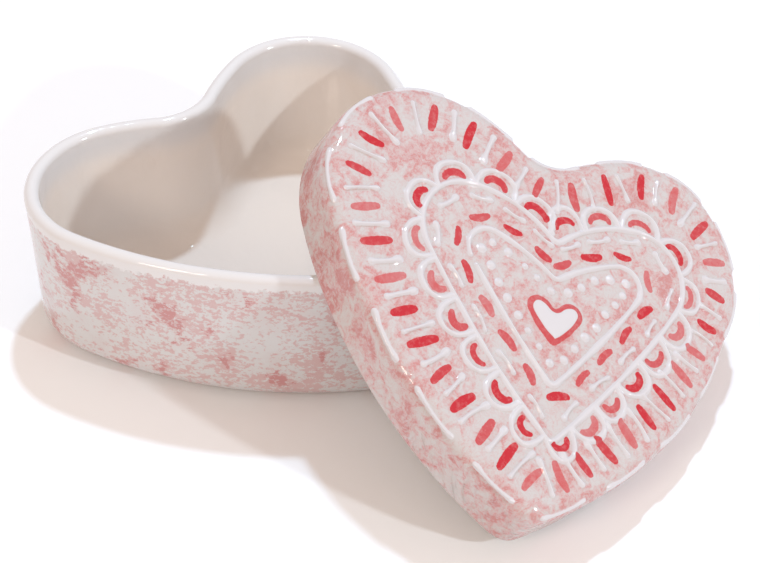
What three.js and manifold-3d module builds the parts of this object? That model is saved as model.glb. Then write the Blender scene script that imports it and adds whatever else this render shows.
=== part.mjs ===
// A heart-shaped earthenware box: an open dish and a lid that fits over its rim.
// Millimetres, +Z up. The dish stands on z = 0 with its tip towards -Y and its notch towards +Y.
// The lid is off, and leans on the dish's rim with one flank on the ground.

import * as THREE from 'three';
import { mergeVertices } from 'three/addons/utils/BufferGeometryUtils.js';
import Module from 'manifold-3d';

const wasm = await Module();
wasm.setup();

// The heart, seen from above: the middle line of the dish's rim.
// Each half is five arcs that run into each other: notch, shoulder, lobe, flank and tip.
const lobeRadius = 28.4;
const lobeOffset = 36.6;
const shoulderRadius = 82.7;
const shoulderTurn = 19.7;
const notchRadius = 20.4;
const flankRadius = 137.8;
const tipRadius = 2.1;
const heartLength = 84.7;

// The dish.
const dishHeight = 52;
const dishWall = 4.5;
const dishFloor = 5;
const dishLean = 1.5;
const dishCorner = 7.5;
const dishFillet = 10;
const footHeight = 1.4;
const insideTipRadius = 4;

// The lid.
const lidHeight = 19.9;
const lidWall = 4;
const lidTop = 4.5;
const lidEdge = 4.4;
const lidClearance = 0.7;

// How the lid leans, in degrees: the way its face looks, its slope, and its turn in its own plane.
const lidFacing = 8.4;
const lidSlope = 31.5;
const lidTurn = -51.2;
const lidSideways = 27.9;
const restGap = 0.3;

// The raised lines of the lid.
const beadWidth = 2.2;
const beadCrown = 1.0;
const beadHeight = 0.9;
const beadRoot = 0.5;

// Hearts drawn on the lid by hand, each with the radii of its arcs. All three sit a little to the
// right, with their right lobes a little higher. Two are given by their distances in from the lid's
// outline, and the small one by its half width, its height and its rise above the inner heart's tip.
const ornamentShift = 3.3;
const ornamentLean = 1.6;
const outerHeart = {
  side: 27.7, top: 27.6, tip: 24, lobe: 15.9, shoulder: 42, turn: 3.3, notch: 2.5, flank: 300, point: 2.2,
};
const innerHeart = {
  side: 42.8, top: 41.3, tip: 41.3, lobe: 6.8, shoulder: 65, turn: 17.4, notch: 2.5, flank: 300, point: 2.2,
};
const smallHeart = {
  half: 9.35, height: 15.1, rise: 12.1, lobe: 3.9, shoulder: 6.9, turn: 13.4, notch: 1.1, flank: 28, point: 1.1,
};

// Rows of strokes on the lid. A phase is in steps of the row from the notch, leftwards.
// Crowding moves strokes towards the tip by up to that many steps, or away from it below zero.
const scallopPitch = 12.6;
const scallopDepth = 7.3;
const scallopFoot = 0.8;
const scallopPhase = -0.3;
const scallopCrowding = 0.35;
const dashPitch = 11;
const dashInset = 1.9;
const dashLength = 9.5;
const dashPhase = 0.8;
const dashCrowding = 0.87;
const rowPitch = 13;
const rowLength = 6.5;
const rowShare = 0.3;
const rowPhase = 0.5;
const rowCrowding = -0.45;
const dotPitch = 5.5;
const dotInset = 4.2;
const dotRadius = 1.1;
const edgePitch = 25;
const edgeLength = 15.5;
const edgePhase = 0.9;

// How finely the round stretches are cut.
const outlineSteps = { notch: 3, shoulder: 4, lobe: 10, flank: 8, tip: 3 };
const ornamentSteps = { notch: 3, shoulder: 3, lobe: 8, flank: 3, tip: 2 };
const smallSteps = { notch: 1, shoulder: 1, lobe: 5, flank: 2, tip: 1 };
const cornerSteps = 4;
const rimSteps = 6;
const scallopSteps = 7;
const edgeStrokeSteps = 4;
const dotSides = 6;

const radians = THREE.MathUtils.degToRad;
const rimRadius = dishWall / 2;
const lidInside = rimRadius + lidClearance;
const lidOutside = lidInside + lidWall;
const lidBounds = {
  side: lobeOffset + lobeRadius + lidOutside,
  top: lobeRadius + lidOutside,
  tip: -heartLength - lidOutside,
};

const boxOutline = {
  lobe: new THREE.Vector2(lobeOffset, 0),
  lobeRadius,
  shoulderRadius,
  shoulderTurn,
  notchRadius,
  flankRadius,
  tipRadius,
  tip: -heartLength,
  middle: 0,
  lean: 0,
};

// A heart drawn on the lid, from where its side, its top and its tip are.
function drawnOutline(drawn, side, top, tip) {
  return {
    lobe: new THREE.Vector2(side - drawn.lobe, top - drawn.lobe),
    lobeRadius: drawn.lobe,
    shoulderRadius: drawn.shoulder,
    shoulderTurn: drawn.turn,
    notchRadius: drawn.notch,
    flankRadius: drawn.flank,
    tipRadius: drawn.point,
    tip,
    middle: ornamentShift,
    lean: ornamentLean,
  };
}

// A heart that follows the lid's outline.
function ornamentOutline(drawn) {
  const { side, top, tip } = lidBounds;
  return drawnOutline(drawn, side - drawn.side, top - drawn.top, tip + drawn.tip);
}

// The small heart, inside the inner one.
function smallOutline() {
  const tip = lidBounds.tip + innerHeart.tip + smallHeart.rise;
  return drawnOutline(smallHeart, smallHeart.half, tip + smallHeart.height, tip);
}

// An arc without its last point, which the next arc begins with.
function arcPoints(centre, radius, from, to, steps) {
  const points = [];
  for (let i = 0; i < steps; i += 1) {
    const angle = from + ((to - from) * i) / steps;
    const reach = new THREE.Vector2(Math.cos(angle), Math.sin(angle)).multiplyScalar(radius);
    points.push(reach.add(centre));
  }
  return points;
}

// The angle of the way from one point to another, as one that doesn't pass a limit.
function angleBelow(limit, from, to) {
  const angle = Math.atan2(to.y - from.y, to.x - from.x);
  return angle > limit ? angle - 2 * Math.PI : angle;
}

// The centre of the flank's arc, which touches the lobe and the tip from outside them both.
function flankCentre(shape, tip) {
  const toTip = tip.clone().sub(shape.lobe);
  const span = toTip.length();
  const fromLobe = shape.flankRadius - shape.lobeRadius;
  const fromTip = shape.flankRadius - shape.tipRadius;
  const along = (fromLobe ** 2 - fromTip ** 2 + span ** 2) / (2 * span);
  const across = Math.sqrt(fromLobe ** 2 - along ** 2);
  toTip.normalize();
  return new THREE.Vector2(
    shape.lobe.x + toTip.x * along + toTip.y * across,
    shape.lobe.y + toTip.y * along - toTip.x * across,
  );
}

// A heart's outline moved out by an offset, counter-clockwise from its notch.
function heartPoints(shape, offset, steps, leastTip = 0) {
  const { lobe, lobeRadius: round, shoulderRadius: broad } = shape;
  const turn = radians(shape.shoulderTurn);
  const shoulder = new THREE.Vector2(Math.sin(turn), -Math.cos(turn))
    .multiplyScalar(broad - round)
    .add(lobe);
  const notchRise = Math.sqrt((broad + shape.notchRadius) ** 2 - shoulder.x ** 2);
  const notch = new THREE.Vector2(0, shoulder.y + notchRise);
  const flank = flankCentre(shape, new THREE.Vector2(0, shape.tip + shape.tipRadius));
  const tipRound = Math.max(shape.tipRadius + offset, leastTip);
  const tipDrop = Math.sqrt((shape.flankRadius + offset - tipRound) ** 2 - flank.x ** 2);
  const tip = new THREE.Vector2(0, flank.y - tipDrop);
  const down = -Math.PI / 2;
  const notchEnd = angleBelow(Math.PI, notch, shoulder);
  const shoulderStart = angleBelow(Math.PI, shoulder, notch);
  const lobeStart = Math.PI / 2 + turn;
  const flankStart = angleBelow(lobeStart, flank, lobe);
  const flankEnd = angleBelow(flankStart, flank, tip);
  const half = [
    ...arcPoints(notch, shape.notchRadius - offset, down, notchEnd, steps.notch),
    ...arcPoints(shoulder, broad + offset, shoulderStart, lobeStart, steps.shoulder),
    ...arcPoints(lobe, round + offset, lobeStart, flankStart, steps.lobe),
    ...arcPoints(flank, shape.flankRadius + offset, flankStart, flankEnd, steps.flank),
    ...arcPoints(tip, tipRound, flankEnd, down, steps.tip),
    new THREE.Vector2(0, tip.y - tipRound),
  ];
  const mirrored = half.slice(1, -1).map((point) => new THREE.Vector2(-point.x, point.y));
  const outline = [half[0], ...mirrored, ...half.slice(1).reverse()];
  const rise = Math.tan(radians(shape.lean));
  return outline.map((point) => new THREE.Vector2(point.x + shape.middle, point.y + point.x * rise));
}

// A closed skin over rings of points. Rings turn counter-clockwise seen from where the skin goes.
function skin(rings, capOutlines, closed = false) {
  const count = rings[0].length;
  const bands = closed ? rings.length : rings.length - 1;
  const index = [];
  for (let k = 0; k < bands; k += 1) {
    const low = k * count;
    const high = ((k + 1) % rings.length) * count;
    for (let j = 0; j < count; j += 1) {
      const next = (j + 1) % count;
      index.push(low + j, low + next, high + next);
      index.push(low + j, high + next, high + j);
    }
  }
  if (!closed) {
    const last = (rings.length - 1) * count;
    for (const [a, b, c] of THREE.ShapeUtils.triangulateShape(capOutlines[0], [])) {
      index.push(c, b, a);
    }
    for (const [a, b, c] of THREE.ShapeUtils.triangulateShape(capOutlines[1], [])) {
      index.push(last + a, last + b, last + c);
    }
  }
  const geometry = new THREE.BufferGeometry().setFromPoints(rings.flat());
  geometry.setIndex(index);
  return geometry;
}

// A heart-shaped skin over steps that each have an offset from the box's outline and a height.
function heartSkin(shape, levels, steps, leastTip) {
  const outlines = levels.map(([offset]) => heartPoints(shape, offset, steps, leastTip));
  const rings = outlines.map((outline, i) =>
    outline.map((point) => new THREE.Vector3(point.x, point.y, levels[i][1])));
  return skin(rings, [outlines[0], outlines.at(-1)]);
}

// Levels along an arc of a wall's profile, given by its centre, from one angle to another.
function profileArc(offset, height, radius, from, to, steps) {
  const levels = [];
  for (let i = 0; i <= steps; i += 1) {
    const angle = radians(from + ((to - from) * i) / steps);
    levels.push([offset + radius * Math.cos(angle), height + radius * Math.sin(angle)]);
  }
  return levels;
}

function solidOf(geometry) {
  const bare = geometry.clone();
  bare.deleteAttribute('normal');
  bare.deleteAttribute('uv');
  const merged = mergeVertices(bare);
  return new wasm.Manifold(new wasm.Mesh({
    numProp: 3,
    vertProperties: new Float32Array(merged.attributes.position.array),
    triVerts: new Uint32Array(merged.index.array),
  }));
}

function geometryOf(solid) {
  const mesh = solid.getMesh();
  const geometry = new THREE.BufferGeometry();
  geometry.setAttribute('position', new THREE.BufferAttribute(mesh.vertProperties, 3));
  geometry.setIndex(new THREE.BufferAttribute(mesh.triVerts, 1));
  geometry.computeVertexNormals();
  return geometry;
}

// The dish, or with a growth the room that it takes up with a gap all round it.
function dishGeometry(growth = 0) {
  const rimHeight = dishHeight - rimRadius;
  const slant = Math.tan(radians(dishLean));
  const outsideAt = (height) => rimRadius - (rimHeight - height) * slant;
  const cornerTurn = 75;
  const cornerHeight = footHeight + dishCorner * Math.sin(radians(cornerTurn));
  const cornerOffset = outsideAt(cornerHeight) - dishCorner;
  const corner = profileArc(cornerOffset, cornerHeight, dishCorner + growth, -cornerTurn, 0, cornerSteps);
  const filletHeight = dishFloor + dishFillet;
  const filletOffset = outsideAt(filletHeight) - dishWall - dishFillet;
  const levels = [
    [corner[0][0], -growth],
    ...corner,
    ...profileArc(0, rimHeight, rimRadius + growth, 0, 180, rimSteps),
    ...profileArc(filletOffset, filletHeight, dishFillet - growth, 0, -90, cornerSteps),
  ];
  return heartSkin(boxOutline, levels, outlineSteps, insideTipRadius);
}

// The lid without its ornament, its open side down on z = 0.
function lidShell() {
  const ceiling = lidHeight - lidTop;
  const fillet = lidInside;
  const lowRound = lidWall / 4;
  const shoulder = lidHeight - lidEdge;
  const levels = [
    ...profileArc(lidInside - fillet, ceiling - fillet, fillet, 90, 0, cornerSteps - 1),
    ...profileArc(lidInside + lowRound, lowRound, lowRound, 180, 270, 1),
    ...profileArc(lidOutside - lowRound, lowRound, lowRound, 270, 360, 1),
    ...profileArc(lidOutside - lidEdge, shoulder, lidEdge, 0, 90, cornerSteps),
  ];
  return heartSkin(boxOutline, levels, outlineSteps, insideTipRadius);
}

// A raised line along places, each with the way that it stands up from.
function bead(places, ups, closed) {
  const section = [
    new THREE.Vector2(-beadWidth / 2, -beadRoot),
    new THREE.Vector2(beadWidth / 2, -beadRoot),
    new THREE.Vector2(beadCrown / 2, beadHeight),
    new THREE.Vector2(-beadCrown / 2, beadHeight),
  ];
  const last = places.length - 1;
  const rings = places.map((place, i) => {
    const before = closed ? places.at(i - 1) : places[Math.max(i - 1, 0)];
    const after = closed ? places[(i + 1) % places.length] : places[Math.min(i + 1, last)];
    const along = after.clone().sub(before);
    const side = ups[i].clone().cross(along).normalize();
    return section.map((point) =>
      place.clone().addScaledVector(side, point.x).addScaledVector(ups[i], point.y));
  });
  return skin(rings, [section, section], closed);
}

// A raised line on the lid's flat face.
function faceBead(points, closed = false) {
  const places = points.map((point) => new THREE.Vector3(point.x, point.y, lidHeight));
  const ups = points.map(() => new THREE.Vector3(0, 0, 1));
  return bead(places, ups, closed);
}

// Steps along a closed outline, each with the way along it and the way out.
function stations(outline, pitch, phase = 0, crowding = 0) {
  const path = new THREE.Path([...outline, outline[0]]);
  const count = Math.round(path.getLength() / pitch);
  const steps = [];
  for (let i = 0; i < count; i += 1) {
    const even = i + phase;
    const crowded = even + crowding * Math.sin((2 * Math.PI * even) / count);
    const share = (crowded / count + 1) % 1;
    const along = path.getTangent(share);
    steps.push({ place: path.getPoint(share), along, out: new THREE.Vector2(along.y, -along.x) });
  }
  return steps;
}

// The point at a distance along and a distance out from a station.
function beside(station, along, out) {
  return station.place.clone().addScaledVector(station.along, along).addScaledVector(station.out, out);
}

function heartLines() {
  const outlines = [outerHeart, innerHeart].map(ornamentOutline);
  return outlines.map((shape) => faceBead(heartPoints(shape, 0, ornamentSteps), true));
}

function smallHeartPlate() {
  const levels = [
    [0, lidHeight - beadRoot],
    [(beadCrown - beadWidth) / 2, lidHeight + beadHeight],
  ];
  return heartSkin(smallOutline(), levels, smallSteps, beadCrown / 2);
}

// Arches that stand round the outer heart, each from one foot just off its line to the next.
function scallops() {
  const outline = heartPoints(ornamentOutline(outerHeart), scallopFoot, ornamentSteps);
  const feet = stations(outline, scallopPitch, scallopPhase - 0.5, scallopCrowding);
  return feet.map((foot, i) => {
    const middle = foot.place.clone().lerp(feet[(i + 1) % feet.length].place, 0.5);
    const along = middle.clone().sub(foot.place);
    const reach = along.length() - beadWidth / 2;
    along.normalize();
    const arch = { place: middle, along, out: new THREE.Vector2(along.y, -along.x) };
    const points = [];
    for (let j = 0; j <= scallopSteps; j += 1) {
      const angle = (Math.PI * j) / scallopSteps;
      points.push(beside(arch, -reach * Math.cos(angle), scallopDepth * Math.sin(angle)));
    }
    return faceBead(points);
  });
}

// Dashes that point out to the lid's edge.
function borderDashes() {
  const middle = lidOutside - lidEdge - dashInset - dashLength / 2;
  const outline = heartPoints(boxOutline, middle, outlineSteps, insideTipRadius);
  return stations(outline, dashPitch, dashPhase, dashCrowding).map((station) =>
    faceBead([beside(station, 0, -dashLength / 2), beside(station, 0, dashLength / 2)]));
}

// Dashes between the two hearts, along a heart that is a share of the way from the outer one.
function rowDashes() {
  const between = {};
  for (const size of Object.keys(outerHeart)) {
    between[size] = THREE.MathUtils.lerp(outerHeart[size], innerHeart[size], rowShare);
  }
  const outline = heartPoints(ornamentOutline(between), 0, ornamentSteps);
  return stations(outline, rowPitch, rowPhase, rowCrowding).map((station) =>
    faceBead([beside(station, -rowLength / 2, 0), beside(station, rowLength / 2, 0)]));
}

function dots() {
  const shape = ornamentOutline(innerHeart);
  const outline = heartPoints(shape, -dotInset, ornamentSteps, beadWidth);
  return stations(outline, dotPitch).map(({ place }) => {
    const height = beadHeight + beadRoot;
    const dot = new THREE.CylinderGeometry(beadCrown / 2, dotRadius, height, dotSides);
    dot.rotateX(Math.PI / 2);
    dot.translate(place.x, place.y, lidHeight - beadRoot + height / 2);
    return dot;
  });
}

// Lines that follow the lid's rounded edge.
function edgeLines() {
  const lean = radians(45);
  const offset = lidOutside - lidEdge * (1 - Math.cos(lean));
  const height = lidHeight - lidEdge * (1 - Math.sin(lean));
  const outline = heartPoints(boxOutline, offset, outlineSteps);
  const path = new THREE.Path([...outline, outline[0]]);
  const length = path.getLength();
  const count = Math.round(length / edgePitch);
  const lines = [];
  for (let i = 0; i < count; i += 1) {
    const places = [];
    const ups = [];
    for (let j = 0; j <= edgeStrokeSteps; j += 1) {
      const shift = edgeLength * (j / edgeStrokeSteps - 0.5);
      const share = ((i + edgePhase) / count + shift / length) % 1;
      const place = path.getPoint(share);
      const along = path.getTangent(share);
      places.push(new THREE.Vector3(place.x, place.y, height));
      ups.push(new THREE.Vector3(
        along.y * Math.cos(lean),
        -along.x * Math.cos(lean),
        Math.sin(lean),
      ));
    }
    lines.push(bead(places, ups, false));
  }
  return lines;
}

function lidGeometry() {
  const raised = [
    ...heartLines(),
    smallHeartPlate(),
    ...scallops(),
    ...borderDashes(),
    ...rowDashes(),
    ...dots(),
    ...edgeLines(),
  ];
  const joined = raised.reduce((solid, piece) => solid.add(solidOf(piece)), solidOf(lidShell()));
  return geometryOf(joined);
}

// Nested groups turn the lid in its plane, tip it and face it. Its lowest point is on the ground,
// and it comes up to the dish until only the gap is left.
function leaningLid(lid) {
  const tilt = new THREE.Group();
  tilt.rotation.x = radians(lidSlope);
  tilt.add(lid);
  lid.rotation.z = radians(lidTurn);
  const stand = new THREE.Group();
  stand.rotation.z = radians(lidFacing);
  stand.add(tilt);
  stand.updateMatrixWorld(true);
  const turned = lidShell().applyMatrix4(lid.matrixWorld);
  turned.computeBoundingBox();
  const lift = -turned.boundingBox.min.z;
  const away = new THREE.Vector3(Math.sin(stand.rotation.z), -Math.cos(stand.rotation.z), 0);
  const sideways = new THREE.Vector3(-away.y, away.x, 0).multiplyScalar(lidSideways);
  const placeAt = (distance) => sideways.clone().addScaledVector(away, distance).setZ(lift);
  const keepOut = solidOf(dishGeometry(restGap));
  const meets = (distance) => {
    const place = placeAt(distance);
    const moved = turned.clone().translate(place.x, place.y, place.z);
    return !solidOf(moved).intersect(keepOut).isEmpty();
  };
  const stride = 4;
  let clear = 2 * heartLength + lidBounds.side;
  while (!meets(clear - stride)) {
    clear -= stride;
  }
  let touching = clear - stride;
  while (clear - touching > restGap / 10) {
    const between = (clear + touching) / 2;
    if (meets(between)) {
      touching = between;
    } else {
      clear = between;
    }
  }
  stand.position.copy(placeAt(clear));
  return stand;
}

const glaze = new THREE.MeshStandardMaterial({ color: 0xd8a29c, roughness: 0.25, metalness: 0 });
const whiteGlaze = new THREE.MeshStandardMaterial({ color: 0xe2dcd8, roughness: 0.2, metalness: 0 });

const dish = new THREE.Mesh(dishGeometry(), glaze);
dish.name = 'dish';

const lid = new THREE.Mesh(lidGeometry(), whiteGlaze);
lid.name = 'lid';

// The origin is halfway between the front and the back of the dish, on the ground.
const box = new THREE.Group();
box.position.y = (heartLength - lobeRadius) / 2;
box.add(dish, leaningLid(lid));

export default box;
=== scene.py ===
# A heart-shaped earthenware box with its lid leaning on the rim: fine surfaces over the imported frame.
# Sizes are in millimetres. What is placed in the scene is scaled to metres by MM.

import math
import random

import bpy
import numpy as np
from mathutils import Matrix, Vector, noise
from mathutils.geometry import delaunay_2d_cdt


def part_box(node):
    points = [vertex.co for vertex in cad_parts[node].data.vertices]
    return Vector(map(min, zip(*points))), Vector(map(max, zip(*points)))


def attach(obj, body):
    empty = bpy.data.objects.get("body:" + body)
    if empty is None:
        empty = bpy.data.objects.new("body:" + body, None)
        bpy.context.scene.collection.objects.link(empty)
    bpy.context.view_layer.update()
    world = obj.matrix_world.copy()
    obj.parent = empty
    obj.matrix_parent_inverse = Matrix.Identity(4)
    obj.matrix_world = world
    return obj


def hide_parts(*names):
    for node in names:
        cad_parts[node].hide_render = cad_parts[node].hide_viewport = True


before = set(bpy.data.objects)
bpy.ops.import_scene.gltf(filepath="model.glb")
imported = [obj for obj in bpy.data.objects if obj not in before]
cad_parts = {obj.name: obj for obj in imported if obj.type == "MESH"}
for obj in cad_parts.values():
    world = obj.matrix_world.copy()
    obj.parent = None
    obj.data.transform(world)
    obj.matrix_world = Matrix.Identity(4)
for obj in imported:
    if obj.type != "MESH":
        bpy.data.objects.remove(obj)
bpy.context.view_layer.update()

MM = 0.001

# The heart seen from above: five arcs to each half of the rim's middle line.
LOBE_RADIUS = 28.4
LOBE_OFFSET = 36.6
SHOULDER_RADIUS = 82.7
SHOULDER_TURN = 19.7
NOTCH_RADIUS = 20.4
FLANK_RADIUS = 137.8
TIP_RADIUS = 2.1
HEART_LENGTH = 84.7
INSIDE_TIP_RADIUS = 4.0
HEART_SHIFT = (HEART_LENGTH - LOBE_RADIUS) / 2

# The dish.
DISH_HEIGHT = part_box("dish")[1].z / MM
DISH_WALL = 4.5
DISH_FLOOR = 5.0
DISH_LEAN = 1.5
DISH_CORNER = 7.5
CORNER_TURN = 75
DISH_FILLET = 10.0
FOOT_HEIGHT = 1.4
FOOT_BEVEL = 0.7
FOOT_ROUNDING = (0.15, 0.25)
FOOT_EDGE = 0.84
RIM_RADIUS = DISH_WALL / 2
BARE_BAND = 3.9

# The lid, and how it leans.
LID_HEIGHT = 19.9
LID_WALL = 4.0
LID_TOP = 4.5
LID_EDGE = 4.4
LID_CLEARANCE = 0.7
LID_INSIDE = RIM_RADIUS + LID_CLEARANCE
LID_OUTSIDE = LID_INSIDE + LID_WALL
LID_FLAT = LID_OUTSIDE - LID_EDGE
LID_PLACE = (41.41, -61.28, 36.25)
LID_FACING = 8.4
LID_SLOPE = 31.5
LID_TURN = -51.2
NARROWING = 3.2
NARROW_FROM = 46.0

# The hand-made unevenness: the size of its swellings, and how far they move the surface.
DISH_WAVER = (38, 0.35)
LID_WAVER = (34, 0.3)
WAVER_START = 12

# The raised white lines.
BEAD_HEIGHT = 0.8
BEAD_REACH = 1.15
BEAD_SPACING = 0.45
SIZES = ("side", "top", "tip", "lobe", "shoulder", "turn", "notch", "flank", "point")
OUTER_HEART = dict(zip(SIZES, (27.7, 27.6, 24, 15.9, 42, 3.3, 2.5, 300, 2.2)))
INNER_HEART = dict(zip(SIZES, (42.8, 41.3, 41.3, 6.8, 65, 17.4, 2.5, 300, 2.2)))
SMALL_HEART = dict(zip(SIZES, (62.6, 58.5, 53.4, 3.9, 6.9, 13.4, 1.1, 28, 1.1)))
ORNAMENT_SHIFT = 3.3
ORNAMENT_LEAN = 1.6
SCALLOPS = 21
SCALLOP_DEPTH = 7.3
SCALLOP_FOOT = 0.8
SCALLOP_GAP = 0.6
SCALLOP_PHASE = -0.3
SCALLOP_CROWDING = 0.35
BORDER_DASHES = 33
BORDER_CROWDING = 0.87
BORDER_WANDER = 0.5
BORDER_TILT = 0.9
BORDER_BEND = 0.05
WHITE_DASH_MIDDLE = 11.05
WHITE_DASH_LENGTH = 9.5
WHITE_ROW_DASHES = 18
WHITE_ROW_LENGTH = 6.6
WHITE_ROW_SHARE = 0.3
WHITE_ROW_CROWDING = -0.45
DOT_INSET = 4.2
DOTS = 25
DOT_REACH = 1.5
DOT_TIP_RADIUS = 2.2
DOT_LENGTH = (0.12, 0.08)
LIFT_SHARE = 0.28
LIFT_GAP = 5
EDGE_LINES = 17
EDGE_LENGTH = 15.5
EDGE_PHASE = 0.9
EDGE_REACH_DOWN = 4

# The small heart's plate: its steps, each a height, how far in it starts and its width, and its white.
PLATE_STEPS = ((0.35, 0.0, 1.2), (0.5, 1.3, 1.3))
PLATE_WHITE = 1.6

# The red brush marks: their places, lengths and half-widths.
RED_DASH_PHASE = 0.3
RED_DASH_MIDDLE = 10.3
RED_DASH_LENGTH = 7.6
RED_DASH_REACH = 1.4
RED_ROW_DASHES = 17
RED_ROW_OFFSET = 3.8
RED_ROW_PHASE = 0.62
RED_ROW_LENGTH = 5.4
RED_ROW_REACH = 1.25
COMMA_FOOT = 1.7
COMMA_RISE = 2.3
COMMA_REACH = 1.15
HEART_RIM_INSET = 1.0
HEART_RIM_TIP_RADIUS = 0.6
HEART_RIM_REACH = 0.9

# How finely the surfaces are cut: steps along their stretches, and spacings of points.
HALF_STEPS = {"notch": 24, "shoulder": 34, "lobe": 90, "flank": 100, "tip": 20}
DISH_STEPS = {"corner": 14, "outside": 18, "rim": 16, "inside": 12, "fillet": 16}
LID_STEPS = {"fillet": 6, "inside": 6, "low edge": 5, "outside": 16, "edge": 20}
RING_STEPS = 14
BEAD_ROWS = (0, 0.3, -0.3, 0.55, -0.55, 0.78, -0.78, 1.0, -1.0, 1.25, -1.25)
PAINT_ROWS = (0, 0.55, -0.55, 1.0, -1.0, 1.5, -1.5)
DASH_SPACING = 0.7
COMMA_SPACING = 0.6
HEART_RIM_SPACING = 0.5
CLOSE_CELL = 0.24
SPARSE_CELL = 0.8
SPARSE_PITCH = 1.2

# Levels of a wall over which the rim's white fades inside, and that stay bare under the lid's wall.
RIM_FADE = 3
BARE_LEVELS = 2

# A depth for points far outside every line, and the least length that anything is divided by.
FAR = -9.0
TINY = 1e-9

hand = random.Random(11)
noise.seed_set(11)


class Heart:
    """A heart of arcs: each half runs through a notch, a shoulder, a lobe, a flank and the tip."""

    def __init__(self, lobe, radius, shoulder, turn, notch, flank, point, tip, middle=0.0, lean=0.0):
        self.lobe = np.array(lobe)
        self.radius = radius
        self.shoulder = shoulder
        self.turn = math.radians(turn)
        self.notch = notch
        self.flank = flank
        self.point = point
        self.tip = tip
        self.middle = middle
        self.rise = math.tan(math.radians(lean))

    def flank_centre(self):
        """The centre of the flank's arc, which holds the lobe's and the tip's arcs."""
        way = np.array([0.0, self.tip + self.point]) - self.lobe
        span = np.hypot(*way)
        from_lobe = self.flank - self.radius
        from_tip = self.flank - self.point
        along = (from_lobe**2 - from_tip**2 + span**2) / (2 * span)
        across = math.sqrt(from_lobe**2 - along**2)
        way /= span
        return self.lobe + way * along + np.array([way[1], -way[0]]) * across

    def outline(self, offset=0.0, least_tip=0.0):
        """The outline moved out by an offset, counter-clockwise from the notch."""
        shoulder = self.lobe + (self.shoulder - self.radius) * np.array(
            [math.sin(self.turn), -math.cos(self.turn)]
        )
        rise = math.sqrt((self.shoulder + self.notch) ** 2 - shoulder[0] ** 2)
        notch = np.array([0.0, shoulder[1] + rise])
        flank = self.flank_centre()
        round_tip = max(self.point + offset, least_tip)
        drop = math.sqrt((self.flank + offset - round_tip) ** 2 - flank[0] ** 2)
        tip = np.array([0.0, flank[1] - drop])
        lobe_start = math.pi / 2 + self.turn
        flank_start = bearing(flank, self.lobe)
        flank_end = bearing(flank, tip)
        down = -math.pi / 2
        steps = HALF_STEPS
        half = np.concatenate([
            arc(notch, self.notch - offset, down, bearing(notch, shoulder), steps["notch"]),
            arc(shoulder, self.shoulder + offset, bearing(shoulder, notch), lobe_start, steps["shoulder"]),
            arc(self.lobe, self.radius + offset, lobe_start, flank_start, steps["lobe"]),
            arc(flank, self.flank + offset, flank_start, flank_end, steps["flank"]),
            arc(tip, round_tip, flank_end, down, steps["tip"]),
            [[0.0, tip[1] - round_tip]],
        ])
        mirrored = half[1:-1] * [-1, 1]
        outline = np.concatenate([half[:1], mirrored, half[:0:-1]])
        outline[:, 1] += outline[:, 0] * self.rise
        return outline + [self.middle, 0.0]


def bearing(start, end):
    """The angle of the way from one point to another."""
    return math.atan2(end[1] - start[1], end[0] - start[0])


def arc(centre, radius, start, end, steps):
    """An arc without its last point, which the next arc begins with."""
    angles = np.linspace(start, end, steps, endpoint=False)
    return centre + radius * np.column_stack([np.cos(angles), np.sin(angles)])


BOX = Heart(
    (LOBE_OFFSET, 0.0), LOBE_RADIUS, SHOULDER_RADIUS, SHOULDER_TURN,
    NOTCH_RADIUS, FLANK_RADIUS, TIP_RADIUS, -HEART_LENGTH,
)


def ornament_heart(shape):
    """A heart drawn on the lid, by its distances in from the lid's outline and its arcs."""
    lobe_x = LOBE_OFFSET + LOBE_RADIUS + LID_OUTSIDE - shape["side"] - shape["lobe"]
    lobe_y = LOBE_RADIUS + LID_OUTSIDE - shape["top"] - shape["lobe"]
    tip = -HEART_LENGTH - LID_OUTSIDE + shape["tip"]
    return Heart(
        (lobe_x, lobe_y), shape["lobe"], shape["shoulder"], shape["turn"],
        shape["notch"], shape["flank"], shape["point"], tip, ORNAMENT_SHIFT, ORNAMENT_LEAN,
    )


def between_hearts(share):
    """A heart that lies a share of the way from the outer one to the inner one."""
    sizes = {size: OUTER_HEART[size] + (INNER_HEART[size] - OUTER_HEART[size]) * share for size in SIZES}
    return ornament_heart(sizes)


# Places along lines

def closed_lengths(outline):
    """How far along a closed outline each of its points lies, with its whole length last."""
    steps = np.hypot(*(np.roll(outline, -1, 0) - outline).T)
    return np.concatenate([[0.0], np.cumsum(steps)])


def along_outline(outline, distances):
    """The points at distances along a closed outline, and the ways along and out there."""
    lengths = closed_lengths(outline)
    closed = np.vstack([outline, outline[:1]])

    def at(where):
        where = np.mod(where, lengths[-1])
        return np.column_stack([np.interp(where, lengths, closed[:, k]) for k in (0, 1)])

    distances = np.asarray(distances, float)
    reach = 0.5
    ways = at(distances + reach) - at(distances - reach)
    ways /= np.hypot(*ways.T)[:, None]
    outs = np.column_stack([ways[:, 1], -ways[:, 0]])
    return at(distances), ways, outs


def stations(outline, count, phase=0.0, crowding=0.0):
    """Places along a closed outline, each with its ways along and out.

    They crowd to the tip, or to the notch where the crowding is below zero.
    """
    even = np.arange(count) + phase
    crowded = even + crowding * np.sin(2 * math.pi * even / count)
    places, ways, outs = along_outline(outline, crowded * closed_lengths(outline)[-1] / count)
    return list(zip(places, ways, outs))


def resampled(path, spacing):
    """An open path cut again into even steps."""
    path = np.asarray(path, float)
    lengths = np.concatenate([[0.0], np.cumsum(np.hypot(*np.diff(path, axis=0).T))])
    count = max(2, int(round(lengths[-1] / spacing)) + 1)
    where = np.linspace(0.0, lengths[-1], count)
    return np.column_stack([np.interp(where, lengths, path[:, k]) for k in (0, 1)])


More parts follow.
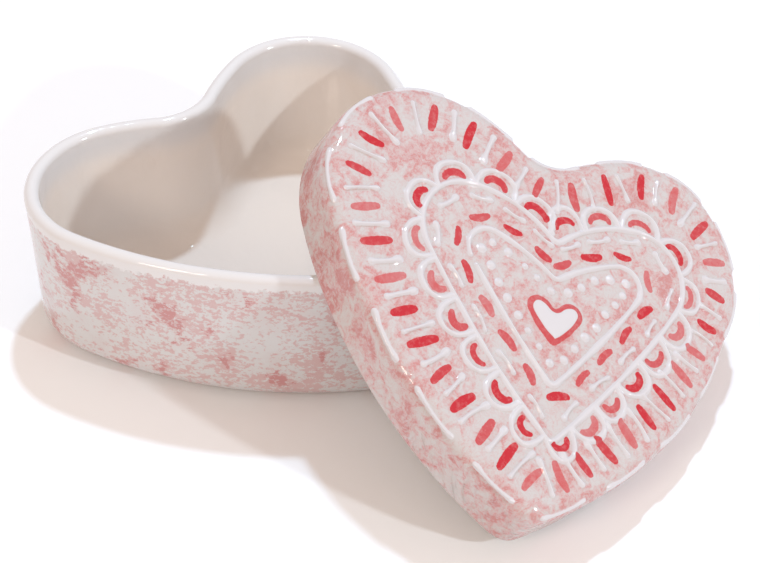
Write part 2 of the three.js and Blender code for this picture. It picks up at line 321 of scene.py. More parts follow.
class Stroke:
    """A line drawn on the lid: its path, and its half-width at each point of the path."""

    def __init__(self, path, width, closed=False, swell=None, tone=1.0, spacing=BEAD_SPACING):
        path = np.asarray(path, float)
        if closed:
            path = np.vstack([path, path[:1]])
        self.path = resampled(path, spacing)
        share = np.linspace(0.0, 1.0, len(self.path))
        self.widths = width * (swell(share) if swell else np.ones(len(share)))
        self.closed = closed
        self.tone = tone

    def near(self, points):
        """The numbers of the points near the stroke, with two measures of each.

        The ratio is its distance from the path in half-widths, and the depth is how far it is inside.
        """
        margin = 2.5 * self.widths.max()
        batch = 4000
        low = self.path.min(0) - margin
        high = self.path.max(0) + margin
        which = np.flatnonzero(np.all((points > low) & (points < high), axis=1))
        ratio, depth = np.zeros((2, len(which)))
        starts = self.path[:-1]
        ways = np.diff(self.path, axis=0)
        squares = np.maximum((ways**2).sum(1), TINY)
        for first in range(0, len(which), batch):
            part = slice(first, first + batch)
            gaps = points[which[part]][:, None, :] - starts
            t = np.clip((gaps * ways).sum(2) / squares, 0.0, 1.0)
            distance = np.sqrt(((gaps - t[..., None] * ways) ** 2).sum(2))
            width = self.widths[:-1] + np.diff(self.widths) * t
            best = (distance / width).argmin(1)
            rows = np.arange(len(best))
            ratio[part] = distance[rows, best] / width[rows, best]
            depth[part] = (width - distance).max(1)
        return which, ratio, depth

    def scatter(self, shares):
        """Points for the mesh: rows beside the path and rings round its open ends."""
        ways = np.gradient(self.path, axis=0)
        ways /= np.maximum(np.hypot(*ways.T), TINY)[:, None]
        outs = np.column_stack([ways[:, 1], -ways[:, 0]])
        rows = [self.path + outs * (self.widths * share)[:, None] for share in shares]
        if not self.closed:
            angles = np.linspace(0, 2 * math.pi, RING_STEPS, endpoint=False)
            ring = np.column_stack([np.cos(angles), np.sin(angles)])
            for end in (0, -1):
                reach = ring * self.widths[end]
                rows += [self.path[end] + reach * share for share in shares if share > 0]
        return np.concatenate(rows)


# Hand-drawn swellings along a stroke, as shares of its half-width

def wavering(strength, waves):
    """A width that comes and goes along a line."""
    phase = hand.uniform(0, 2 * math.pi)

    def swell(share):
        slow = np.sin(2 * math.pi * waves * share + phase)
        fast = np.sin(2 * math.pi * (2.3 * waves + 0.4) * share + 2 * phase)
        return 1 + strength * (slow + 0.6 * fast) / 1.6
    return swell


def dropped(strength):
    """A thin line that ends in a drop at the end where the tool was lifted."""
    thin = hand.uniform(0.62, 0.8)

    def swell(share):
        drop = np.exp(-(((share - 0.95) / 0.14) ** 2))
        start = 0.25 * np.exp(-((share / 0.12) ** 2))
        return thin + strength * drop + start
    return swell


def brushed(share):
    """A brush mark: fuller in its middle than at its ends."""
    return 0.78 + 0.26 * np.sin(math.pi * np.clip(share, 0, 1)) ** 0.7


def lightly(value, spread):
    """A value that the hand makes a share larger or smaller."""
    return value * hand.uniform(1 - spread, 1 + spread)


def bent(start, end, bend):
    """A nearly straight path between two points, bowed to one side."""
    share = np.linspace(0, 1, 9)[:, None]
    way = end - start
    side = np.array([way[1], -way[0]])
    return start + way * share + side * bend * np.sin(math.pi * share)


def beside(station, along, out):
    """The point at a distance along and a distance out from a place."""
    place, way, outward = station
    return place + way * along + outward * out


# The white relief

def heart_lines():
    """The outer heart's line, and the inner one's, which has a gap where the tool was lifted."""
    outer = ornament_heart(OUTER_HEART).outline()
    inner = ornament_heart(INNER_HEART).outline()
    lifted = round(len(inner) * LIFT_SHARE)
    inner = np.roll(inner, -lifted, 0)
    return [
        Stroke(outer, BEAD_REACH, closed=True, swell=wavering(0.16, 9)),
        Stroke(inner[LIFT_GAP:-LIFT_GAP], BEAD_REACH, swell=wavering(0.16, 6)),
    ]


def arches():
    """The places that scallops stand on: the middle of each one's chord, and half its length."""
    outline = ornament_heart(OUTER_HEART).outline(SCALLOP_FOOT)
    feet = stations(outline, SCALLOPS, SCALLOP_PHASE - 0.5, SCALLOP_CROWDING)
    places = []
    for (first, _, _), (second, _, _) in zip(feet, feet[1:] + feet[:1]):
        way = second - first
        span = np.hypot(*way)
        way = way / span
        places.append(((first + second) / 2, way, np.array([way[1], -way[0]]), span / 2))
    return places


def scallops():
    lines = []
    for *arch, half in arches():
        reach = lightly(half - SCALLOP_GAP, 0.04)
        depth = lightly(SCALLOP_DEPTH, 0.09)
        skew = hand.uniform(-0.9, 0.9)
        path = []
        for angle in np.linspace(0, math.pi, 15):
            across = math.copysign(abs(math.cos(angle)) ** 0.85, math.cos(angle))
            out = depth * math.sin(angle) ** 0.8
            path.append(beside(arch, -reach * across + skew * math.sin(angle), out))
        lines.append(Stroke(path, lightly(BEAD_REACH, 0.06), swell=wavering(0.14, 1.5)))
    return lines


def border_dash(station, length):
    """The path of a dash that points out to the lid's edge, from its outer end."""
    half = lightly(length, 0.16) / 2
    shift = hand.uniform(-BORDER_WANDER, BORDER_WANDER)
    tilt = hand.uniform(-BORDER_TILT, BORDER_TILT)
    drift = hand.uniform(-BORDER_WANDER, BORDER_WANDER)
    outer = beside(station, shift + tilt, drift + half)
    inner = beside(station, shift - tilt, drift - half)
    return bent(outer, inner, hand.uniform(-BORDER_BEND, BORDER_BEND))


def row_dash(station, length, spread, wander, bend):
    """The path of a dash that lies along its row, turned a little off it."""
    half = lightly(length / 2, spread)
    turn = hand.uniform(-wander, wander)
    return bent(beside(station, half, turn), beside(station, -half, -turn), bend)


def border_stations(middle, phase):
    """The places of the dashes whose middles are a distance in from the lid's outline."""
    outline = BOX.outline(LID_OUTSIDE - middle, least_tip=INSIDE_TIP_RADIUS)
    return stations(outline, BORDER_DASHES, phase, BORDER_CROWDING)


def white_dashes():
    lines = []
    for station in border_stations(WHITE_DASH_MIDDLE, RED_DASH_PHASE + 0.5):
        path = border_dash(station, WHITE_DASH_LENGTH)
        lines.append(Stroke(path, lightly(BEAD_REACH, 0.12), swell=dropped(0.45)))
    return lines


def white_row():
    """The row of dashes between the two hearts."""
    outline = between_hearts(WHITE_ROW_SHARE).outline()
    lines = []
    for station in stations(outline, WHITE_ROW_DASHES, 0.5, WHITE_ROW_CROWDING):
        path = row_dash(station, WHITE_ROW_LENGTH, 0.15, 0.5, 0.06)
        lines.append(Stroke(path, lightly(BEAD_REACH, 0.1), swell=dropped(0.4)))
    return lines


def dots():
    """Drops in a row inside the inner heart."""
    lines = []
    outline = ornament_heart(INNER_HEART).outline(-DOT_INSET, least_tip=DOT_TIP_RADIUS)
    for station in stations(outline, DOTS, 0.2):
        place = beside(station, hand.uniform(-0.6, 0.6), hand.uniform(-0.7, 0.5))
        lines.append(Stroke([place, place + DOT_LENGTH], lightly(DOT_REACH, 0.16)))
    return lines


# The red brush marks

def red_tone():
    """How strong a brush mark came out: most are full, some are washed out."""
    return hand.choice((1.0, 1.0, 0.92, 0.8, 0.58))


def red_mark(path, reach, spread, spacing):
    """A brush mark along a path, with a half-width and a strength of its own."""
    return Stroke(path, lightly(reach, spread), swell=brushed, tone=red_tone(), spacing=spacing)


def red_dashes():
    marks = []
    for station in border_stations(RED_DASH_MIDDLE, RED_DASH_PHASE):
        path = border_dash(station, RED_DASH_LENGTH)
        marks.append(red_mark(path, RED_DASH_REACH, 0.14, DASH_SPACING))
    return marks


def red_row():
    outline = ornament_heart(INNER_HEART).outline(RED_ROW_OFFSET)
    marks = []
    for station in stations(outline, RED_ROW_DASHES, RED_ROW_PHASE):
        path = row_dash(station, RED_ROW_LENGTH, 0.12, 0.6, 0.07)
        marks.append(red_mark(path, RED_ROW_REACH, 0.14, DASH_SPACING))
    return marks


def commas():
    """A curved mark inside each scallop."""
    marks = []
    for *arch, half in arches():
        reach = lightly(0.5 * half, 0.1)
        rise = lightly(COMMA_RISE, 0.12)
        turn = hand.uniform(-0.4, 0.4)
        shift = hand.uniform(-0.4, 0.4)
        path = []
        for angle in np.linspace(0.05 * math.pi, 0.95 * math.pi, 9):
            along = -reach * math.cos(angle + turn) + shift
            path.append(beside(arch, along, COMMA_FOOT + rise * math.sin(angle + turn)))
        marks.append(red_mark(path, COMMA_REACH, 0.16, COMMA_SPACING))
    return marks


def heart_rim():
    """The red line round the small heart."""
    outline = ornament_heart(SMALL_HEART).outline(-HEART_RIM_INSET, least_tip=HEART_RIM_TIP_RADIUS)
    swell = wavering(0.2, 3)
    return [Stroke(outline, HEART_RIM_REACH, closed=True, swell=swell, tone=0.8, spacing=HEART_RIM_SPACING)]


# Surfaces

def loft(count, bands):
    """Faces between rings that each hold the same count of points, from the mesh's first point."""
    here = np.arange(count)
    ahead = (here + 1) % count
    faces = []
    for band in range(bands):
        low = band * count
        high = low + count
        faces.append(np.column_stack([low + here, low + ahead, high + ahead, high + here]))
    return np.concatenate(faces).tolist()


def profile_arc(offset, height, radius, start, end, steps):
    """Levels of a wall's profile along an arc, each an offset, a height and the way out."""
    levels = []
    for angle in np.radians(np.linspace(start, end, steps + 1)):
        way = (math.cos(angle), math.sin(angle))
        levels.append((offset + radius * way[0], height + radius * way[1], way))
    return levels


def profile_line(start, end, steps):
    """Levels between two others, without them."""
    levels = []
    for step in range(1, steps):
        share = step / steps
        offset = start[0] + (end[0] - start[0]) * share
        height = start[1] + (end[1] - start[1]) * share
        levels.append((offset, height, start[2]))
    return levels


def wavers(points, size, strength):
    """A slow hand-made unevenness at each point, in millimetres."""
    return np.array([noise.noise_vector(Vector(point) / size) * strength for point in points])


def ring_points(levels):
    """Rings of points for a heart-shaped wall."""
    rings = []
    for offset, height, _ in levels:
        outline = BOX.outline(offset, least_tip=INSIDE_TIP_RADIUS)
        rings.append(np.column_stack([outline, np.full(len(outline), height)]))
    return rings


def mesh_object(name, points, faces, fields, materials):
    """A smooth mesh from points in millimetres, with a number at each point for each field."""
    mesh = bpy.data.meshes.new(name)
    mesh.from_pydata((np.asarray(points) * MM).tolist(), [], faces)
    mesh.shade_smooth()
    for field, values in fields.items():
        attribute = mesh.attributes.new(field, "FLOAT", "POINT")
        attribute.data.foreach_set("value", np.asarray(values, dtype=np.float32))
    for material in materials:
        mesh.materials.append(material)
    piece = bpy.data.objects.new(name, mesh)
    bpy.context.scene.collection.objects.link(piece)
    return piece


def dish_levels():
    """The dish's profile from its underside, up outside, over the rim and down inside."""
    rim_height = DISH_HEIGHT - RIM_RADIUS
    slant = math.tan(math.radians(DISH_LEAN))

    def outside_at(height):
        return RIM_RADIUS - (rim_height - height) * slant

    corner_height = FOOT_HEIGHT + DISH_CORNER * math.sin(math.radians(CORNER_TURN))
    corner_offset = outside_at(corner_height) - DISH_CORNER
    corner = profile_arc(corner_offset, corner_height, DISH_CORNER, -CORNER_TURN, 0, DISH_STEPS["corner"])
    fillet_height = DISH_FLOOR + DISH_FILLET
    fillet_offset = outside_at(fillet_height) - DISH_WALL - DISH_FILLET
    fillet = profile_arc(fillet_offset, fillet_height, DISH_FILLET, 0, -90, DISH_STEPS["fillet"])
    rim = profile_arc(0, rim_height, RIM_RADIUS, 0, 180, DISH_STEPS["rim"])
    foot = [
        (corner[0][0] - FOOT_BEVEL, 0.0, (0, -1)),
        (corner[0][0] - FOOT_ROUNDING[0], FOOT_ROUNDING[1], (1, 0)),
        (corner[0][0], FOOT_EDGE, (1, 0)),
    ]
    outside = foot + corner + profile_line(corner[-1], rim[0], DISH_STEPS["outside"]) + rim
    inside = profile_line(rim[-1], fillet[0], DISH_STEPS["inside"]) + fillet
    return outside, inside


def dish_piece(materials):
    outside, inside = dish_levels()
    rings = ring_points(outside + inside)
    points = np.concatenate(rings)
    count = len(rings[0])
    crown = len(outside) - DISH_STEPS["rim"] // 2
    start = DISH_HEIGHT - BARE_BAND
    paint = [start - height for _, height, _ in outside[:crown]]
    paint += [FAR] * (len(rings) - crown)
    rim = [1.0] * len(outside) + [smooth(1 - row / RIM_FADE) for row in range(len(inside))]
    uneven = wavers(points, *DISH_WAVER)
    uneven[:, 2] *= np.clip(points[:, 2] / WAVER_START, 0, 1)
    points = points + uneven
    points[:, 1] += HEART_SHIFT
    faces = loft(count, len(rings) - 1)
    faces.append(list(range(count - 1, -1, -1)))
    faces.append(list(range(count * (len(rings) - 1), count * len(rings))))
    fields = {"paint": np.repeat(paint, count), "rim": np.repeat(rim, count)}
    return mesh_object("dish_glazed", points, faces, fields, materials)


def lid_levels():
    """The lid's profile from its ceiling, down inside, round its lower edge and up outside."""
    ceiling = LID_HEIGHT - LID_TOP
    steps = LID_STEPS
    fillet = profile_arc(0.0, ceiling - LID_INSIDE, LID_INSIDE, 90, 0, steps["fillet"])
    low = LID_WALL / 4
    inner_edge = profile_arc(LID_INSIDE + low, low, low, 180, 270, steps["low edge"])
    outer_edge = profile_arc(LID_OUTSIDE - low, low, low, 270, 360, steps["low edge"])
    edge = profile_arc(LID_FLAT, LID_HEIGHT - LID_EDGE, LID_EDGE, 0, 90, steps["edge"])
    inside = fillet + profile_line(fillet[-1], inner_edge[0], steps["inside"]) + inner_edge
    outside = outer_edge + profile_line(outer_edge[-1], edge[0], steps["outside"]) + edge
    return inside, outside


def edge_strokes(length):
    """Lines along the rounded edge, on a plane of distance along it and down from the face."""
    strokes = []
    middle = LID_EDGE * math.pi / 4
    for index in range(EDGE_LINES):
        centre = (index + EDGE_PHASE) * length / EDGE_LINES
        half = lightly(EDGE_LENGTH, 0.08) / 2
        tilt = hand.uniform(-0.5, 0.5)
        start = np.array([centre + half, middle + tilt])
        end = np.array([centre - half, middle - tilt])
        strokes.append(Stroke(bent(start, end, 0.02), BEAD_REACH, swell=dropped(0.3)))
    return strokes


def edge_lines(levels, rings):
    """How high the edge's lines stand on each ring point, and how deep it is inside a line."""
    middle = BOX.outline(LID_FLAT + LID_EDGE / math.sqrt(2))
    lengths = closed_lengths(middle)
    heights = np.zeros((len(rings), len(middle)))
    depths = np.full_like(heights, FAR)
    strokes = edge_strokes(lengths[-1])
    for row, (_, height, way) in enumerate(levels):
        inward = way[0] < -0.1
        if inward or height < LID_HEIGHT - LID_EDGE - EDGE_REACH_DOWN:
            continue
        turned = math.atan2(way[1], way[0])
        down = LID_EDGE * (math.pi / 2 - turned) + max(0.0, LID_HEIGHT - LID_EDGE - height)
        for lap in (-lengths[-1], 0.0, lengths[-1]):
            flat = np.column_stack([lengths[:-1] + lap, np.full(len(middle), down)])
            for stroke in strokes:
                which, ratio, depth = stroke.near(flat)
                heights[row, which] = np.maximum(heights[row, which], bead_height(ratio))
                depths[row, which] = np.maximum(depths[row, which], depth)
    return heights, depths


def raised_rings(levels, rings):
    """The rings with the edge's lines raised on them, and how deep each point is in a line."""
    heights, depths = edge_lines(levels, rings)
    raised = []
    for ring, height, (_, _, way) in zip(rings, heights, levels):
        ways = np.roll(ring[:, :2], -1, 0) - np.roll(ring[:, :2], 1, 0)
        ways /= np.maximum(np.hypot(*ways.T), TINY)[:, None]
        outs = np.column_stack([ways[:, 1] * way[0], -ways[:, 0] * way[0], np.full(len(ring), way[1])])
        raised.append(ring + outs * height[:, None])
    return raised, depths


def bead_height(ratio):
    """How high a bead stands at a distance from its middle, in half-widths."""
    return BEAD_HEIGHT * np.clip(1 - ratio**2, 0, 1) ** 1.6


def thinned(points, taken, cell):
    """Points with at most one to a cell of a square grid, and none in a taken cell."""
    row_step = 1000003

    def keys(places):
        cells = np.floor(places / cell).astype(np.int64)
        return cells[:, 0] * row_step + cells[:, 1]

    mine = keys(points)
    _, first = np.unique(mine, return_index=True)
    first.sort()
    free = ~np.isin(mine[first], keys(taken))
    return points[first[free]]


def face_points(boundary, relief, paint):
    """Points over the lid's face: close along the strokes and sparse elsewhere."""
    lines = [stroke.scatter(BEAD_ROWS) for stroke in relief]
    marks = [stroke.scatter(PAINT_ROWS) for stroke in paint]
    close = thinned(np.concatenate(lines + marks), boundary, CLOSE_CELL)
    low = boundary.min(0)
    high = boundary.max(0)
    columns = np.arange(low[0], high[0], SPARSE_PITCH)
    across, up = np.meshgrid(columns, np.arange(low[1], high[1], SPARSE_PITCH))
    across = across + (np.arange(len(across)) % 2)[:, None] * SPARSE_PITCH / 2
    grid = np.column_stack([across.ravel(), up.ravel()])
    sparse = thinned(grid, np.vstack([close, boundary]), SPARSE_CELL)
    return np.concatenate([close, sparse])


def drawn_fields(points, relief, paint):
    """Height, and depths inside the white relief and the red paint, at points of the face.

    Where beads meet, their heights join by a high power, which rounds the inner corner.
    """
    power = 5
    total = np.zeros(len(points))
    white = np.full(len(points), FAR)
    for stroke in relief:
        which, ratio, depth = stroke.near(points)
        total[which] += bead_height(ratio) ** power
        white[which] = np.maximum(white[which], depth)
    inside = plate_depth(points, ornament_heart(SMALL_HEART).outline())
    plate = sum(height * smooth((inside - start) / width) for height, start, width in PLATE_STEPS)
    total += plate ** power
    white = np.maximum(white, np.where(inside > 0, inside - PLATE_WHITE, FAR))
    red = np.full(len(points), FAR)
    tone = np.zeros(len(points))
    for stroke in paint:
        which, _, depth = stroke.near(points)
        over = depth > red[which]
        red[which[over]] = depth[over]
        tone[which[over]] = stroke.tone
    return total ** (1 / power), {"white": white, "red": red, "tone": tone}


def smooth(value):
    """0 up to zero, 1 from one on and a soft slope in between."""
    value = np.clip(value, 0, 1)
    return value * value * (3 - 2 * value)


def plate_depth(points, outline):
    """How far inside the small heart a point is, and below zero outside it."""
    margin = 3.0
    near = np.all((points > outline.min(0) - margin) & (points < outline.max(0) + margin), axis=1)
    depth = np.full(len(points), FAR)
    ends = np.roll(outline, -1, 0)
    ways = ends - outline
    squares = np.maximum((ways**2).sum(1), TINY)
    run = ways[:, 0] / np.where(ways[:, 1] == 0, TINY, ways[:, 1])
    for index in np.flatnonzero(near):
        point = points[index]
        gaps = point - outline
        t = np.clip((gaps * ways).sum(1) / squares, 0, 1)
        distance = np.sqrt(((gaps - t[:, None] * ways) ** 2).sum(1)).min()
        rises = (outline[:, 1] > point[1]) != (ends[:, 1] > point[1])
        crossings = rises & (point[0] < outline[:, 0] + run * (point[1] - outline[:, 1]))
        depth[index] = distance if crossings.sum() % 2 else -distance
    return depth


def face_mesh(boundary, inner):
    """Triangles over the face. Boundary points keep their numbers, and the inner ones follow."""
    count = len(boundary)
    places = [Vector(point) for point in np.vstack([boundary, inner])]
    edges = [(index, (index + 1) % count) for index in range(count)]
    inside_only = 1
    nearness = 1e-6
    found, _, faces, origins, _, _ = delaunay_2d_cdt(places, edges, [], inside_only, nearness)
    numbers = {}
    extra = []
    for index in sorted({corner for face in faces for corner in face}):
        rim = [source for source in origins[index] if source < count]
        if rim:
            numbers[index] = rim[0]
        else:
            numbers[index] = count + len(extra)
            extra.append(found[index])
    triangles = [[numbers[corner] for corner in face] for face in faces]
    return np.array([tuple(point) for point in extra]), triangles


def lid_fields(inside, outside, depths, drawn):
    """The lid's numbers for its material: those of the rings' points, then of the face's."""
    glazed = [0.0] * (len(inside) + BARE_LEVELS) + [1.0] * (len(outside) - BARE_LEVELS)
    side = [smooth((LID_HEIGHT - height) / LID_EDGE) for _, height, _ in inside + outside]
    count = depths.shape[1]
    face = len(drawn["red"])
    return {
        "white": np.concatenate([depths.ravel(), drawn["white"]]),
        "red": np.concatenate([np.full(depths.size, FAR), drawn["red"]]),
        "tone": np.concatenate([np.zeros(depths.size), drawn["tone"]]),
        "outside": np.concatenate([np.repeat(glazed, count), np.ones(face)]),
        "side": np.concatenate([np.repeat(side, count), np.zeros(face)]),
    }


def lid_piece(materials):
    inside, outside = lid_levels()
    levels = inside + outside
    rings, depths = raised_rings(levels, ring_points(levels))
    relief = heart_lines() + scallops() + white_dashes() + white_row() + dots()
    paint = red_dashes() + red_row() + commas() + heart_rim()
    boundary = rings[-1][:, :2]
    inner, triangles = face_mesh(boundary, face_points(boundary, relief, paint))
    rise, drawn = drawn_fields(inner, relief, paint)
    wall = np.concatenate(rings)
    points = np.vstack([wall, np.column_stack([inner, LID_HEIGHT + rise])])
    points = points + wavers(points, *LID_WAVER)
    count = len(boundary)
    first = len(wall) - count
    faces = loft(count, len(rings) - 1)
    faces.append(list(range(count - 1, -1, -1)))
    faces += [[first + corner for corner in triangle] for triangle in triangles]
    fields = lid_fields(inside, outside, depths, drawn)
    return mesh_object("lid_glazed", placed(narrowed(points)), faces, fields, materials)


def narrowed(points):
    """The lid's right lobe came out narrower than its left one."""
    points = points.copy()
    widest = LOBE_OFFSET + LOBE_RADIUS + LID_OUTSIDE
    share = smooth((points[:, 0] - NARROW_FROM) / (widest - NARROW_FROM))
    points[:, 0] -= NARROWING * share
    return points


def placed(points):
    """The lid's points where it leans on the dish."""
    pose = np.array(lid_pose())
    return points @ pose[:3, :3].T + pose[:3, 3]


def lid_pose():
    """The lid turned on its own axis, tilted, faced and set down."""
    turned = Matrix.Rotation(math.radians(LID_FACING), 4, "Z")
    turned @= Matrix.Rotation(math.radians(LID_SLOPE), 4, "X")
    turned @= Matrix.Rotation(math.radians(LID_TURN), 4, "Z")
    return Matrix.Translation(Vector(LID_PLACE)) @ turned


# Materials

class Number:
    """A number that a shader works out, as the socket that gives it."""

    def __init__(self, tree, socket):
        self.tree = tree
        self.socket = socket

    def maths(self, operation, *terms):
        node = self.tree.nodes.new("ShaderNodeMath")
        node.operation = operation
        for socket, term in zip(node.inputs, terms):
            if isinstance(term, Number):
                self.tree.links.new(term.socket, socket)
            else:
                socket.default_value = term
        return Number(self.tree, node.outputs[0])

    def __add__(self, other):
        return self.maths("ADD", self, other)

    __radd__ = __add__

    def __sub__(self, other):
        return self.maths("SUBTRACT", self, other)

    def __rsub__(self, other):
        return self.maths("SUBTRACT", other, self)

    def __mul__(self, other):
        return self.maths("MULTIPLY", self, other)

    __rmul__ = __mul__

    def size(self):
        """The number without its sign."""
        return self.maths("ABSOLUTE", self)


class Shader:
    """A material under construction."""

    def __init__(self, name):
        self.material = bpy.data.materials.new(name)
        self.material.use_nodes = True
        self.tree = self.material.node_tree
        self.surface = self.tree.nodes["Principled BSDF"]

    def set(self, name, value):
        self.feed(self.surface.inputs[name], value)

    def feed(self, socket, value):
        if isinstance(value, Number):
            value = value.socket
        if isinstance(value, bpy.types.NodeSocket):
            self.tree.links.new(value, socket)
        else:
            socket.default_value = value

    def node(self, kind, settings=None, inputs=None):
        """A new node with its settings, and with values or links for its sockets."""
        node = self.tree.nodes.new(kind)
        for name, value in (settings or {}).items():
            setattr(node, name, value)
        for name, value in (inputs or {}).items():
            self.feed(node.inputs[name], value)
        return node

    def place(self):
        """Where a point is on its piece, in millimetres."""
        object_place = self.node("ShaderNodeTexCoord").outputs["Object"]
        return self.stretched(object_place, (1 / MM, 1 / MM, 1 / MM))

    def stretched(self, place, scales):
        """A place with each of its lengths scaled."""
        return self.node("ShaderNodeVectorMath", {"operation": "MULTIPLY"}, {0: place, 1: scales}).outputs[0]

    def across(self, place, axis):
        """How far along an axis a place is."""
        return Number(self.tree, self.node("ShaderNodeSeparateXYZ", inputs={0: place}).outputs[axis])

    def moved(self, place, shift):
        """A place moved, so that one noise differs from the next."""
        return self.node("ShaderNodeVectorMath", {"operation": "ADD"}, {0: place, 1: shift}).outputs[0]

    def noise(self, place, size, detail=3.0, roughness=0.5, distortion=0.0):
        """Noise from 0 to 1 whose lumps are about a size in millimetres across."""
        node = self.node("ShaderNodeTexNoise", inputs={
            "Vector": place,
            "Scale": 1 / size,
            "Detail": detail,
            "Roughness": roughness,
            "Distortion": distortion,
        })
        return Number(self.tree, node.outputs["Fac"])

    def field(self, name):
        """A number that the mesh holds at each of its points."""
        node = self.node("ShaderNodeAttribute", {"attribute_name": name})
        return Number(self.tree, node.outputs["Fac"])

    def between(self, value, start, end):
        """0 up to the start, 1 past the end and smooth in between. The start may be the greater."""
        node = self.node("ShaderNodeMapRange", {"interpolation_type": "SMOOTHSTEP"}, {
            "Value": value,
            "From Min": start,
            "From Max": end,
        })
        return Number(self.tree, node.outputs["Result"])

    def mix(self, share, first, second):
        """A colour between two others."""
        node = self.node("ShaderNodeMix", {"data_type": "RGBA"}, {0: share, 6: first, 7: second})
        return node.outputs[2]

    def bump(self, height):
        """A surface raised by a height in millimetres."""
        node = self.node("ShaderNodeBump", inputs={"Height": height, "Distance": MM, "Strength": 1.0})
        self.set("Normal", node.outputs["Normal"])


def colour(red, green, blue):
    """A linear colour from values of 0 to 255 as seen on a screen."""
    def linear(value):
        value /= 255
        return value / 12.92 if value < 0.04045 else ((value + 0.055) / 1.055) ** 2.4

    return (linear(red), linear(green), linear(blue), 1.0)


# The dish's outside and the lid have the same white glaze as the inside. The two creams for them are painted
# darker than INSIDE_CREAM, as painted shade.
SHADED_CREAM = colour(205, 206, 208)
SHADED_LID_CREAM = colour(197, 194, 195)
INSIDE_CREAM = colour(232, 226, 221)
RIM_WHITE = colour(218, 219, 222)
PINK = colour(198, 144, 144)
DEEP_PINK = colour(186, 114, 114)
RELIEF_WHITE = colour(208, 207, 212)
RED = colour(188, 40, 54)
LIGHT_RED = colour(202, 92, 94)
BISQUE = colour(150, 118, 96)


def dabbed(shader, place):
    """The dish's pink: crisp flecks with some dense blotches. They gather towards the tip partly as sponging
    and partly as painted shade where the lid's shadow falls.
    """
    drawn_out = shader.stretched(place, (1.0, 1.0, 1.6))
    patches = shader.noise(shader.moved(place, (31, 7, 12)), 15, 2.0, 0.55, 0.6)
    flecks = shader.noise(drawn_out, 2.1, 8.0, 0.72, 0.3)
    # Denser pink towards the tip: partly the sponging, partly painted shade of the lid's shadow on the
    # dish's front near the tip.
    tip_pink_and_shade = shader.between(shader.across(place, "Y"), 10, -70)
    weight = flecks + (patches - 0.5) * 0.45 + tip_pink_and_shade * 0.035
    wash = shader.between(weight, 0.51, 0.55)
    blots = shader.noise(shader.moved(place, (5, 9, 2)), 12, 7.0, 0.62, 0.3)
    dense = shader.between(blots + (patches - 0.5) * 0.5 + (flecks - 0.5) * 0.15, 0.585, 0.625)
    fog = shader.between(blots + tip_pink_and_shade * 0.06, 0.46, 0.62)
    # The cream ground here is the glaze painted darker, as painted shade on the dish's outside.
    tint = shader.mix(wash * 0.56 + fog * 0.1, SHADED_CREAM, PINK)
    return shader.mix(dense * (wash * 0.25 + 0.35), tint, DEEP_PINK)


def washed(shader, place, side):
    """The lid's pink: a soft wash with fine veins and grains in it, stronger on the side."""
    patches = shader.noise(shader.moved(place, (14, 3, 25)), 13, 3.0, 0.6, 0.8)
    cloud = shader.noise(place, 4.0, 7.0, 0.7, 0.8)
    soft = shader.between(cloud + (patches - 0.5) * 0.8 + side * 0.04, 0.4, 0.62)
    lines = shader.noise(shader.moved(place, (2, 8, 6)), 3.4, 4.0, 0.62, 1.8)
    veins = 1 - shader.between((lines - 0.5).size(), 0.004, 0.04)
    grain = shader.between(shader.noise(place, 0.9, 4.0, 0.75) + (cloud - 0.5) * 0.4, 0.48, 0.57)
    # The cream ground here is the glaze painted darker, as painted shade on the lid.
    tint = shader.mix(soft * 0.42 + veins * 0.25 + grain * soft * 0.4, SHADED_LID_CREAM, PINK)
    dense = shader.between(cloud + (patches - 0.5) * 0.9 + side * 0.05, 0.6, 0.74)
    return shader.mix(dense * (side * 0.2 + 0.45), tint, DEEP_PINK)


def glaze(shader, place, lumps=0.0, bare=0.0):
    """The wet look of clear glaze, with a ripple and lumps in it, and dull where the body is bare."""
    shader.set("Roughness", bare * 0.6 + 0.07)
    shader.set("IOR", 1.5)
    slow = shader.noise(shader.moved(place, (3, 3, 3)), 9, 1.0)
    fine = shader.noise(place, 2.2, 1.0)
    shader.bump(slow * 0.2 + fine * 0.05 + lumps)


def dish_material():
    shader = Shader("dish_sponged_glaze")
    place = shader.place()
    ragged = shader.noise(place, 4, 6.0, 0.7) * 8 - 4
    painted = shader.between(shader.field("paint") + ragged, 0.0, 0.8)
    plain = shader.mix(shader.field("rim"), INSIDE_CREAM, RIM_WHITE)
    body = shader.mix(painted, plain, dabbed(shader, place))
    bare = shader.between(shader.across(place, "Z") + shader.noise(place, 6) * 0.5, 1.5, 1.2)
    shader.set("Base Color", shader.mix(bare, body, BISQUE))
    glaze(shader, place, bare=bare)
    return shader.material


def lid_material():
    shader = Shader("lid_painted_glaze")
    place = shader.place()
    outside = shader.field("outside")
    side = shader.field("side")
    ground = shader.mix(outside, INSIDE_CREAM, washed(shader, place, side))
    edge_noise = shader.noise(place, 1.1, 3.0, 0.6)
    red_depth = shader.field("red") + (edge_noise - 0.5) * 0.5
    covered = shader.between(red_depth, -0.08, 0.14)
    streaks = shader.noise(place, 1.6, 4.0, 0.65)
    strength = shader.field("tone") - shader.between(streaks, 0.45, 0.75) * 0.3
    red = shader.mix(strength, LIGHT_RED, RED)
    painted = shader.mix(covered * (strength * 0.55 + 0.45), ground, red)
    white_depth = shader.field("white") + (edge_noise - 0.5) * 0.3
    raised = shader.between(white_depth, 0.05, 0.35)
    raised = raised * (1 - shader.between(shader.field("red"), -0.05, 0.2))
    shader.set("Base Color", shader.mix(raised, painted, RELIEF_WHITE))
    near_tip = shader.between(shader.across(place, "Z"), 48, 18)
    runs = shader.noise(shader.stretched(place, (1.0, 1.0, 0.5)), 5, 1.0, 0.4, 1.5)
    glaze(shader, place, runs * near_tip * side * 1.6)
    return shader.material


def floor_material():
    shader = Shader("pale_floor")
    shader.set("Roughness", 0.9)
    place = shader.place()
    shade = shader.noise(place, 60, 2.0)
    shader.set("Base Color", shader.mix(shade, colour(244, 248, 252), colour(242, 246, 250)))
    return shader.material


# Stage, light and camera

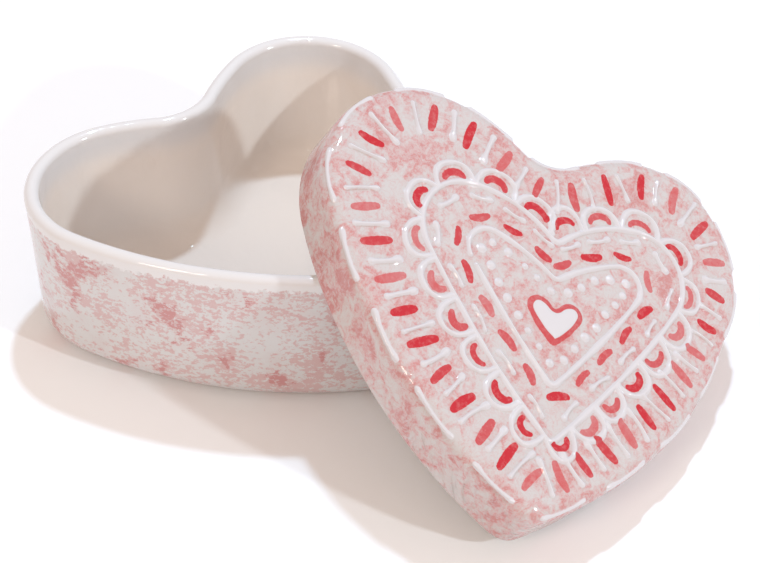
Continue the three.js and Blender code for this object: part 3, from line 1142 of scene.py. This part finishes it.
FLOOR_SIZE = 4.0
CAMERA_PLACE = (-0.26624, -0.31422, 0.38708)
CAMERA_TURN = 44.73
CAMERA_DROP = 42.56
CAMERA_ROLL = 2.38
FOCAL_PIXELS = 1735.8
IMAGE_WIDTH = 760
SENSOR_WIDTH = 36.0
LIGHT_AIM = (0.02, -0.03, 0.03)
LIGHT_DISTANCE = 1.2


def floor():
    half = FLOOR_SIZE / 2 / MM
    points = [(-half, -half, 0), (half, -half, 0), (half, half, 0), (-half, half, 0)]
    piece = mesh_object("floor", points, [[0, 1, 2, 3]], {}, [floor_material()])


def studio_light(name, azimuth, elevation, size, power, tint):
    """A round light that looks at the box from an azimuth and an elevation."""
    data = bpy.data.lights.new(name, "AREA")
    data.shape = "DISK"
    data.size = size
    data.energy = power
    data.color = tint
    light = bpy.data.objects.new(name, data)
    flat = math.cos(math.radians(elevation))
    way = Vector((
        flat * math.cos(math.radians(azimuth)),
        flat * math.sin(math.radians(azimuth)),
        math.sin(math.radians(elevation)),
    ))
    light.location = Vector(LIGHT_AIM) + way * LIGHT_DISTANCE
    light.rotation_euler = way.to_track_quat("Z", "Y").to_euler()
    bpy.context.scene.collection.objects.link(light)


def lights():
    studio_light("front_right", 285, 31, 0.06, 4.7, (0.86, 0.95, 1.0))
    studio_light("back_top", 42, 70, 0.07, 7.0, (0.62, 0.82, 1.0))
    studio_light("left", 190, 35, 0.3, 2.9, (1.0, 0.84, 0.7))
    studio_light("front_left", 226, 50, 0.04, 0.5, (1.0, 0.94, 0.88))
    world = bpy.data.worlds.new("studio")
    world.use_nodes = True
    backdrop = world.node_tree.nodes["Background"]
    backdrop.inputs["Color"].default_value = (1.0, 0.8, 0.69, 1.0)
    backdrop.inputs["Strength"].default_value = 0.7
    bpy.context.scene.world = world


def camera():
    data = bpy.data.cameras.new("camera")
    data.sensor_width = SENSOR_WIDTH
    data.lens = FOCAL_PIXELS / IMAGE_WIDTH * SENSOR_WIDTH
    view = bpy.data.objects.new("camera", data)
    turned = Matrix.Rotation(math.radians(-CAMERA_TURN), 4, "Z")
    turned @= Matrix.Rotation(math.radians(90 - CAMERA_DROP), 4, "X")
    turned @= Matrix.Rotation(math.radians(CAMERA_ROLL), 4, "Z")
    view.matrix_world = Matrix.Translation(CAMERA_PLACE) @ turned
    bpy.context.scene.collection.objects.link(view)
    bpy.context.scene.camera = view


def dress():
    dish = dish_piece([dish_material()])
    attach(dish, "root")
    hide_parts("dish")
    lid = lid_piece([lid_material()])
    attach(lid, "root")
    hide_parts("lid")


dress()
floor()
lights()
camera()
bpy.context.scene.view_settings.view_transform = "Standard"

bpy.context.view_layer.update()
